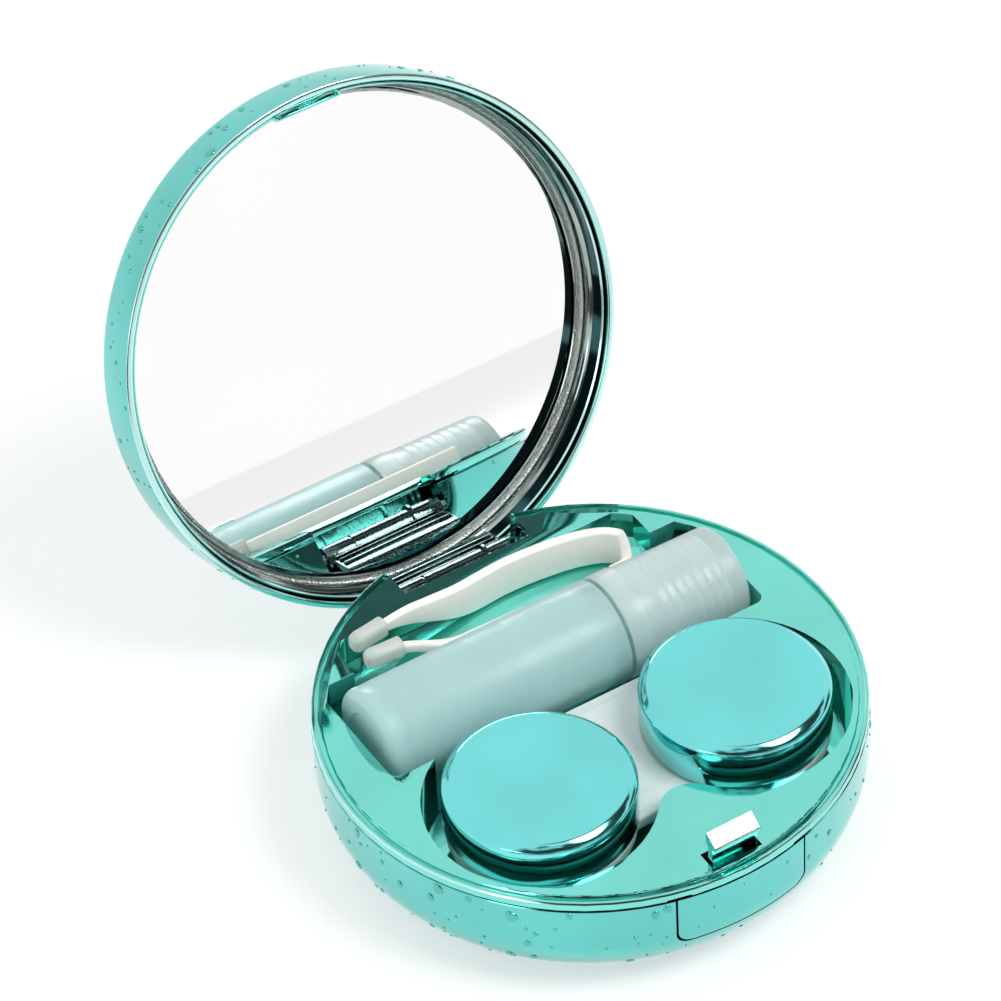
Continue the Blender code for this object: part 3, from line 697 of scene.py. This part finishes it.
def build_catch_ledge():
    low, high = LID_RIM + 0.1 * MM, LID_RIM + 2.5 * MM
    ledge = box("catch_ledge", (-5.2 * MM, -36.9 * MM, low), (5.2 * MM, -35.6 * MM, high))
    low, high = LID_RIM - 1 * MM, LID_RIM + 0.9 * MM
    shelf = box("shelf", (-4.4 * MM, -36.6 * MM, low), (4.4 * MM, -36.0 * MM, high))
    boolean(ledge, shelf, "DIFFERENCE")
    bevelled(ledge, 0.14 * MM)
    ledge.data.transform(LID_OPEN)
    piece(shaded(ledge, plated_deck), "lid", "liner_plate", "lid_liner")


# ---- lens case -----------------------------------------------------------------------------------
def cap_profile():
    """A cap's shell from the top's middle round to the roof: its edge leans in three bends."""
    profile = [(0.0, CAP_TOP), (6.0 * MM, CAP_TOP - 0.01 * MM), (11.0 * MM, CAP_TOP - 0.05 * MM)]
    reach, height, tilt = 11.93, 21.53, 4
    for radius, lean, count in ((0.5, 30, 5), (4.0, 44, 8), (0.8, 90, 9)):
        turn = math.radians(tilt)
        centre = (reach - radius * math.sin(turn), height - radius * math.cos(turn))
        bend = arc(centre, radius, 90 - tilt, 90 - lean, count)
        reach, height, tilt = (*bend[-1], lean)
        profile += [(r * MM, z * MM) for r, z in bend[:-1]]
    profile += [(CAP_R, height * MM), (CAP_R, CAP_LOW + 0.2 * MM), (CAP_R - 0.15 * MM, CAP_LOW)]
    return profile + [(12.35 * MM, CAP_LOW), (12.3 * MM, 20.6 * MM), (0.0, 20.6 * MM)]


def neck_thread(name, place):
    """A round thread that fades in and out, as a curve with thickness."""
    curve = bpy.data.curves.new(name, "CURVE")
    curve.dimensions = "3D"
    curve.bevel_depth = 0.22 * MM
    curve.bevel_resolution = 2
    curve.use_fill_caps = True
    spline = curve.splines.new("POLY")
    count = 100
    spline.points.add(count)
    for i, point in enumerate(spline.points):
        turn = 3.5 * math.pi * i / count
        fade = min(1.0, i / 8, (count - i) / 8)
        reach = 10.86 * MM + 0.14 * MM * fade
        height = (14.9 + 3.0 * i / count) * MM
        point.co = (reach * math.cos(turn), reach * math.sin(turn), height, 1.0)
    thread = link(bpy.data.objects.new(name, curve))
    curve.transform(place)
    curve.materials.append(white_plastic)
    return thread


def build_lens_case():
    for name, side in (("left", -1), ("right", 1)):
        place = Matrix.Translation((side * WELL.x, WELL.y, 0.0))
        cap = lathe(name + "_cap_skin", cap_profile(), 160)
        cap.data.transform(place)
        piece(shaded(cap, plated_cap, 50), name + "_cap", "plated_cap", name + "_cap_shell")
        piece(neck_thread(name + "_neck_thread", place), "lens_case", "white_plastic")
    body = refined("lens_case_body", "lens_case_skin", 0.12 * MM)
    shelf = box("shelf", (-15 * MM, -3 * MM, 12.1 * MM), (15 * MM, 2.2 * MM, 14.05 * MM))
    boolean(body, shelf, "UNION")
    piece(shaded(body, white_plastic), "lens_case", "white_plastic", "lens_case_body")


# ---- bottle --------------------------------------------------------------------------------------
def lay_along_x(obj):
    """Turns a piece made along Z, with its height as the bottle's x, into the bottle's place."""
    obj.data.transform(Matrix.Translation(BOTTLE) @ Matrix.Rotation(math.pi / 2, 4, "Y"))
    return obj


def build_bottle():
    left, neck_end = -28.5 * MM, 16.8 * MM
    outer, wall, bore, neck = 7.7 * MM, 1.0 * MM, 3.9 * MM, 5.0 * MM
    shoulder = BOTTLE_SHOULDER
    inside = outer - wall
    edge = 1.3 * MM
    body = [(0.0, left + wall)]
    body += arc((inside - edge, left + wall + edge), edge, -90, 0, 8)
    body += [(inside, shoulder - 3.0 * MM), (bore, shoulder - 0.8 * MM), (bore, neck_end)]
    body += [(neck, neck_end), (neck, shoulder), (outer - 0.7 * MM, shoulder - 0.1 * MM)]
    body += arc((outer - 0.5 * MM, shoulder - 0.7 * MM), 0.5 * MM, 80, 0, 4)
    body += [(outer, left + 3.4 * MM), (outer - 0.10 * MM, left + 3.25 * MM)]
    body += [(outer - 0.10 * MM, left + 3.05 * MM), (outer - 0.02 * MM, left + 2.9 * MM)]
    body += arc((outer - 0.02 * MM - edge, left + edge), edge, 0, -90, 8)
    body += [(4.6 * MM, left), (4.2 * MM, left + 0.35 * MM), (0.0, left + 0.35 * MM)]
    obj = lay_along_x(lathe("bottle_body_skin", body, 128))
    piece(shaded(obj, frosted_bottle), "bottle", "frosted_plastic", "bottle_body")


def build_bottle_cap():
    """The cap tapers a little and has eight faint grooves round it."""
    right, low = 29.7 * MM, BOTTLE_SHOULDER + 0.3 * MM
    round_r = 1.1 * MM
    end_r = 7.2 * MM
    cap = [(0.0, right)] + arc((end_r - round_r, right - round_r), round_r, 90, 0, 8)
    rings = [right - 3.0 * MM - i * 1.5 * MM for i in range(8)]
    for ring in rings:
        reach = end_r + (right - ring) / (right - low - 3.4 * MM) * 0.28 * MM
        cap += [(reach, ring + 0.12 * MM), (reach - 0.05 * MM, ring), (reach, ring - 0.12 * MM)]
    cap += [(7.5 * MM, low + 3.6 * MM), (7.7 * MM, low + 3.4 * MM), (7.7 * MM, low + 0.3 * MM)]
    cap += [(7.5 * MM, low), (5.3 * MM, low), (5.3 * MM, right - 2.0 * MM), (0.0, right - 2.0 * MM)]
    obj = lay_along_x(lathe("bottle_cap_skin", cap, 128))
    piece(shaded(obj, frosted_cap), "bottle_lid", "frosted_plastic", "bottle_cap")


# ---- tweezers ------------------------------------------------------------------------------------
# the arms' lines seen from above, in mm, and the soft tips' sections: place along the arm and size
REAR_ARM = (
    (-20.6, 25.7), (-18.8, 26.0), (-13.0, 26.7), (-9.0, 26.5), (-5.0, 26.3), (-1.0, 26.6),
    (3.2, 26.9), (8.0, 26.7), (13.0, 26.0), (16.0, 25.2), (18.3, 24.1), (19.8, 22.5),
    (19.8, 21.1), (18.7, 20.4), (16.8, 20.4),
)
FRONT_ARM = ((-20.6, 21.8), (-18.8, 21.7), (-13.0, 21.4), (-6.0, 21.2), (4.0, 20.9), (16.5, 20.4))
TIP_SECTIONS = (
    (-3.5, 0.45), (-3.35, 0.72), (-3.0, 0.9), (-2.4, 1.0), (-1.0, 0.98), (0.6, 0.98), (1.9, 1.0),
    (2.1, 0.94), (2.2, 0.84),
)
LINE_STEPS = 6


def smooth_line(points, count):
    """A smooth curve through points: a place and a direction for each step."""
    ends = [points[0]] + list(points) + [points[-1]]
    line = []
    for i in range(len(points) - 1):
        before, start, end, after = ends[i : i + 4]
        for j in range(count if i < len(points) - 2 else count + 1):
            t = j / count
            place = []
            for p, q, r, s in zip(before, start, end, after):
                bend = (2 * p - 5 * q + 4 * r - s) * t * t + (3 * q - p - 3 * r + s) * t**3
                place.append(0.5 * (2 * q + (r - p) * t + bend))
            line.append(Vector(place) * MM)
    steps = [line[min(i + 1, len(line) - 1)] - line[max(i - 1, 0)] for i in range(len(line))]
    return [(place, step.normalized()) for place, step in zip(line, steps)]


def section(half_width, half_height, corner):
    """A rounded rectangle about its centre."""
    corner = min(corner, half_width * 0.98, half_height * 0.98)
    points = []
    for sx, sy, start in ((1, -1, -90), (1, 1, 0), (-1, 1, 90), (-1, -1, 180)):
        centre = (sx * (half_width - corner), sy * (half_height - corner))
        points += arc(centre, corner, start, start + 90, 4)
    return points


def loft(name, stations):
    """Sections along a line: place, direction, middle height, half width, half height, corner."""
    shape = bmesh.new()
    rings = []
    for place, along, middle, half_width, half_height, corner in stations:
        across = Vector((-along.y, along.x))
        ring = []
        for a, b in section(half_width, half_height, corner):
            spot = place + across * a
            ring.append(shape.verts.new((spot.x, spot.y, middle + b)))
        rings.append(ring)
    count = len(rings[0])
    for first, second in zip(rings, rings[1:]):
        for i in range(count):
            j = (i + 1) % count
            shape.faces.new((first[i], first[j], second[j], second[i]))
    shape.faces.new(rings[0][::-1])
    shape.faces.new(rings[-1])
    return from_bmesh(name, shape)


def arm_edges(x, front):
    """Heights of an arm's lower and upper edge. The front arm falls to a low strip."""
    t = min(1.0, max(0.0, (x - ARM_LEFT) / ((12.0 if front else 18.0) * MM)))
    fall = t * t * (3 - 2 * t)
    return ARM_TOP - (1.6 + 4.4 * fall) * MM, ARM_TOP - (4.2 * fall if front else 0.0) * MM


def build_tweezers():
    arms = (("rear", REAR_ARM, "tweezers"), ("front", FRONT_ARM, "tweezers_arm"))
    for name, points, body in arms:
        line = smooth_line(points, LINE_STEPS)
        stations = []
        for place, along in line:
            thin = max(0.0, min(1.0, (-8.0 * MM - place.x) / (10.8 * MM)))
            low, top = arm_edges(place.x, name == "front")
            if name == "rear" and place.x > 16 * MM and place.y < 22.5 * MM:
                top -= min(3.6 * MM, (22.5 * MM - place.y) * 2.0)
            half = (1.5 - 0.4 * thin) / 2 * MM
            stations.append((place, along, (top + low) / 2, half, (top - low) / 2, 0.4 * MM))
        arm = loft(f"tweezers_{name}_arm_skin", stations)
        piece(shaded(arm, ivory_plastic, 50), body, "ivory_plastic", f"tweezers_{name}_arm")
        start, along = line[LINE_STEPS]
        stations = []
        for reach, size in TIP_SECTIONS:
            place = start + along * reach * MM
            sizes = (1.15 * size * MM, 1.45 * size * MM, 0.8 * size * MM)
            stations.append((place, along, ARM_TOP - 0.8 * MM, *sizes))
        tip = loft(f"tweezers_{name}_tip_skin", stations)
        piece(shaded(tip, silicone, 60), body, "silicone", f"tweezers_{name}_tip")


build_base()
build_button()
build_tray()
build_lid()
build_liner()
build_knuckle()
build_catch_ledge()
build_lens_case()
build_bottle()
build_bottle_cap()
build_tweezers()

for name, look in (
    ("latch_spring", pin_steel),
    ("hinge_pin", pin_steel),
    ("mirror", mirror_glass),
    ("mirror_pad", adhesive_foam),
    ("left_cap_insert", white_plastic),
    ("right_cap_insert", white_plastic),
    ("bottle_nozzle", white_plastic),
):
    shaded(nodes[name], look)


# ---- stage and light -----------------------------------------------------------------------------
def build_stage():
    floor = lathe("floor", [(0.0, -0.2 * MM), (FLOOR_R, -0.2 * MM)], 96)
    glow = {"Emission_Color": (1.0, 1.0, 1.0, 1.0), "Emission_Strength": 0.50}
    look = surface("floor", (0.55, 0.55, 0.55), 0.7, vary=0.01, bump=0.0, **glow)
    shaded(floor, look)


def build_world():
    """A white studio with uneven dark belts in front of the object and a dark patch overhead.

    Plated edges pick them up as dark lines between bright ones.
    """
    world = bpy.data.worlds.new("studio")
    bpy.context.scene.world = world
    world.use_nodes = True
    tree = world.node_tree
    background = tree.nodes["Background"]
    place = node(tree, "ShaderNodeTexCoord")
    split = node(tree, "ShaderNodeSeparateXYZ")
    tree.links.new(place.outputs["Generated"], split.inputs["Vector"])
    wobble = node(tree, "ShaderNodeTexNoise", Scale=4.5, Detail=1.5)
    tree.links.new(place.outputs["Generated"], wobble.inputs["Vector"])
    shift = node(tree, "ShaderNodeMath", operation="MULTIPLY_ADD")
    shift.inputs[1].default_value = 0.36
    shift.inputs[2].default_value = -0.18
    tree.links.new(wobble.outputs["Fac"], shift.inputs[0])
    height = node(tree, "ShaderNodeMath", operation="ADD")
    tree.links.new(split.outputs["Z"], height.inputs[0])
    tree.links.new(shift.outputs["Value"], height.inputs[1])
    belt = node(tree, "ShaderNodeValToRGB")
    stops = ((0.0, 1.0), (0.08, 1.0), (0.10, 0.06), (0.30, 0.06), (0.32, 1.0), (0.44, 1.0))
    stops += ((0.47, 0.06), (0.86, 0.06), (0.90, 1.0), (1.0, 1.0))
    ramp = belt.color_ramp
    for position, value in stops[1:-1]:
        ramp.elements.new(position)
    for element, (position, value) in zip(ramp.elements, stops):
        element.position = position
        element.color = (value, value, value, 1.0)
    tree.links.new(height.outputs["Value"], belt.inputs["Fac"])
    side = node(tree, "ShaderNodeVectorMath", operation="DOT_PRODUCT")
    side.inputs[1].default_value = (0.25, -0.97, 0.0)
    tree.links.new(place.outputs["Generated"], side.inputs[0])
    front = node(tree, "ShaderNodeMapRange")
    front.inputs["From Min"].default_value = 0.12
    front.inputs["From Max"].default_value = 0.24
    tree.links.new(side.outputs["Value"], front.inputs["Value"])
    mix = node(tree, "ShaderNodeMix", data_type="RGBA")
    mix.inputs[6].default_value = (1.0, 1.0, 1.0, 1.0)
    tree.links.new(front.outputs["Result"], mix.inputs[0])
    tree.links.new(belt.outputs["Color"], mix.inputs[7])
    above = node(tree, "ShaderNodeVectorMath", operation="DOT_PRODUCT")
    above.inputs[1].default_value = (0.36, 0.08, 0.93)
    tree.links.new(place.outputs["Generated"], above.inputs[0])
    patch = node(tree, "ShaderNodeMapRange")
    patch.inputs["From Min"].default_value = 0.945
    patch.inputs["From Max"].default_value = 0.970
    patch.inputs["To Min"].default_value = 1.0
    patch.inputs["To Max"].default_value = 0.10
    tree.links.new(above.outputs["Value"], patch.inputs["Value"])
    dim = node(tree, "ShaderNodeVectorMath", operation="SCALE")
    tree.links.new(mix.outputs[2], dim.inputs[0])
    tree.links.new(patch.outputs["Result"], dim.inputs["Scale"])
    tree.links.new(dim.outputs["Vector"], background.inputs["Color"])
    background.inputs["Strength"].default_value = 1.0


def soft_light(name, at, size, power):
    """A round area light aimed at the object."""
    data = bpy.data.lights.new(name, "AREA")
    data.shape = "DISK"
    data.size = size
    data.energy = power
    lamp = link(bpy.data.objects.new(name, data))
    direction = Vector(at) - Vector((0.0, 0.0, 0.01))
    aim = direction.to_track_quat("Z", "Y").to_matrix().to_4x4()
    lamp.matrix_world = Matrix.Translation(at) @ aim


build_stage()
build_world()
soft_light("overhead", (0.40, -0.50, 1.01), 0.60, 8.0)
soft_light("left", (-1.10, -0.55, 0.75), 0.5, 1.2)
